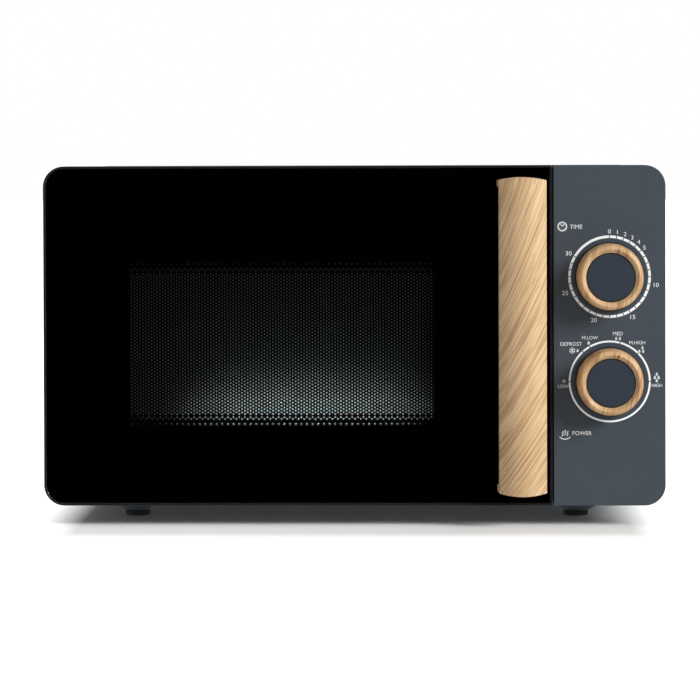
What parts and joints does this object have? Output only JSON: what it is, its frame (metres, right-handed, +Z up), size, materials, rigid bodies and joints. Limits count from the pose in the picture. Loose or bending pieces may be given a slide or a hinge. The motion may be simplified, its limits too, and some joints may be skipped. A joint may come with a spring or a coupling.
{
  "type": "countertop microwave oven",
  "caption": "Compact countertop microwave oven with a side-hinged glass door, an oak-look bar handle, rotary timer and power knobs, and a glass turntable in a steel cavity.",
  "frame": {"origin": "on the surface that the feet stand on, under the middle of the oven's box", "axes": "+X to the right as seen from the front, +Y from the door to the back, +Z up"},
  "size_m": [0.452, 0.35, 0.262],
  "materials": {
    "slate_paint": "satin powder coat on sheet steel",
    "slate_plastic": "satin painted moulding",
    "black_plastic": "moulded, half gloss",
    "black_glass": "tempered, back printed black, polished",
    "oak_wood": "light oak, matt lacquer",
    "cavity_enamel": "light grey enamel",
    "zinc_steel": "zinc plated",
    "black_steel": "black enamelled sheet",
    "clear_glass": "clear, polished",
    "copper_parts": "copper, varnished",
    "aluminium_parts": "mill finish",
    "transformer_iron": "varnished laminations",
    "white_plastic": "moulded, satin",
    "foot_rubber": "matt",
    "mica_sheet": "silvery brown sheet",
    "circuit_board": "paper board with parts"
  },
  "bodies": {
    "cabinet": {"outer_cover": "slate_paint", "rear_panel": "slate_paint", "cord_bush": "black_plastic", "base_plate": "slate_paint", "foot_front_left": "foot_rubber", "foot_front_right": "foot_rubber", "foot_rear_left": "foot_rubber", "foot_rear_right": "foot_rubber", "cavity_liner": "cavity_enamel", "cavity_ceiling": "cavity_enamel", "cavity_rear_wall": "cavity_enamel", "waveguide_cover": "mica_sheet", "front_frame": "cavity_enamel", "upper_hinge": "zinc_steel", "lower_hinge": "zinc_steel", "turntable_motor": "zinc_steel", "control_panel": "slate_plastic", "timer_unit": "zinc_steel", "latch_board": "white_plastic", "door_switch_upper": "black_plastic", "door_switch_lower": "black_plastic", "waveguide": "zinc_steel", "magnetron_yoke": "zinc_steel", "magnetron_tube": "copper_parts", "magnetron_filter_box": "aluminium_parts", "transformer_core": "transformer_iron", "transformer_primary": "copper_parts", "transformer_secondary": "copper_parts", "capacitor": "aluminium_parts", "high_voltage_diode": "black_plastic", "fan_shroud": "white_plastic", "fan_motor": "zinc_steel", "lamp_bulb": "clear_glass", "lamp_holder": "white_plastic", "filter_board": "circuit_board"},
    "door": {"door_frame": "black_plastic", "door_glass": "black_glass", "door_inner_pan": "black_steel", "door_screen": "black_steel", "door_choke_cover": "black_plastic", "door_handle": "oak_wood", "handle_screw_upper": "zinc_steel", "handle_screw_lower": "zinc_steel", "latch_spring": "zinc_steel"},
    "latch": {"latch_hooks": "black_plastic"},
    "timer_knob": {"timer_shaft": "zinc_steel", "timer_knob_ring": "oak_wood", "timer_knob_core": "slate_plastic"},
    "power_knob": {"power_shaft": "zinc_steel", "power_knob_ring": "oak_wood", "power_knob_core": "slate_plastic"},
    "coupler": {"turntable_coupler": "white_plastic"},
    "tray": {"glass_turntable": "clear_glass"},
    "roller_carrier": {"roller_ring": "white_plastic"},
    "wheel_1": {"roller_1": "white_plastic"},
    "wheel_2": {"roller_2": "white_plastic"},
    "wheel_3": {"roller_3": "white_plastic"},
    "upper_plunger": {"switch_plunger_upper": "white_plastic"},
    "lower_plunger": {"switch_plunger_lower": "white_plastic"},
    "fan": {"fan_blade": "white_plastic"}
  },
  "joints": [
    {"name": "door_hinge", "type": "hinge", "parent": "cabinet", "child": "door", "pos_m": [-0.221, -0.132, 0.1], "axis": [0, 0, -1], "range_deg": [0, 105]},
    {"name": "latch_lift", "type": "slide", "parent": "door", "child": "latch", "axis": [0, 0, 1], "range_m": [0, 0.003], "stiffness_N_per_m": 400, "springref_m": -0.004, "deforming": ["latch_spring"]},
    {"name": "timer_turn", "type": "hinge", "parent": "cabinet", "child": "timer_knob", "pos_m": [0.18545, -0.16, 0.1812], "axis": [0, 1, 0], "range_deg": [-15, 285]},
    {"name": "power_turn", "type": "hinge", "parent": "cabinet", "child": "power_knob", "pos_m": [0.18545, -0.16, 0.1052], "axis": [0, 1, 0], "range_deg": [-105, 75]},
    {"name": "turntable_spin", "type": "hinge", "parent": "cabinet", "child": "coupler", "pos_m": [-0.052, 0.0179, 0.0388], "axis": [0, 0, 1], "continuous": true},
    {"name": "tray_lift", "type": "slide", "parent": "coupler", "child": "tray", "axis": [0, 0, 1], "range_m": [0, 0.1]},
    {"name": "roller_ring_spin", "type": "hinge", "parent": "cabinet", "child": "roller_carrier", "pos_m": [-0.052, 0.0179, 0.0388], "axis": [0, 0, 1], "continuous": true},
    {"name": "roller_1_spin", "type": "hinge", "parent": "roller_carrier", "child": "wheel_1", "pos_m": [0.048, 0.0179, 0.0461], "axis": [1, 0, 0], "continuous": true},
    {"name": "roller_2_spin", "type": "hinge", "parent": "roller_carrier", "child": "wheel_2", "pos_m": [-0.102, 0.1045, 0.0461], "axis": [-0.5, 0.866, 0], "continuous": true},
    {"name": "roller_3_spin", "type": "hinge", "parent": "roller_carrier", "child": "wheel_3", "pos_m": [-0.102, -0.0687, 0.0461], "axis": [-0.5, -0.866, 0], "continuous": true},
    {"name": "upper_switch_press", "type": "slide", "parent": "cabinet", "child": "upper_plunger", "axis": [0, 1, 0], "range_m": [0, 0.0015], "stiffness_N_per_m": 300, "springref_m": -0.003},
    {"name": "lower_switch_press", "type": "slide", "parent": "cabinet", "child": "lower_plunger", "axis": [0, 1, 0], "range_m": [0, 0.0015], "stiffness_N_per_m": 300, "springref_m": -0.003},
    {"name": "fan_spin", "type": "hinge", "parent": "cabinet", "child": "fan", "pos_m": [0.166, 0.1558, 0.16], "axis": [0, 1, 0], "continuous": true}
  ],
  "couplings": [
    {"joint": "roller_ring_spin", "follows": "turntable_spin", "ratio": 0.5},
    {"joint": "roller_1_spin", "follows": "turntable_spin", "ratio": -7.1429},
    {"joint": "roller_2_spin", "follows": "turntable_spin", "ratio": -7.1429},
    {"joint": "roller_3_spin", "follows": "turntable_spin", "ratio": -7.1429}
  ]
}
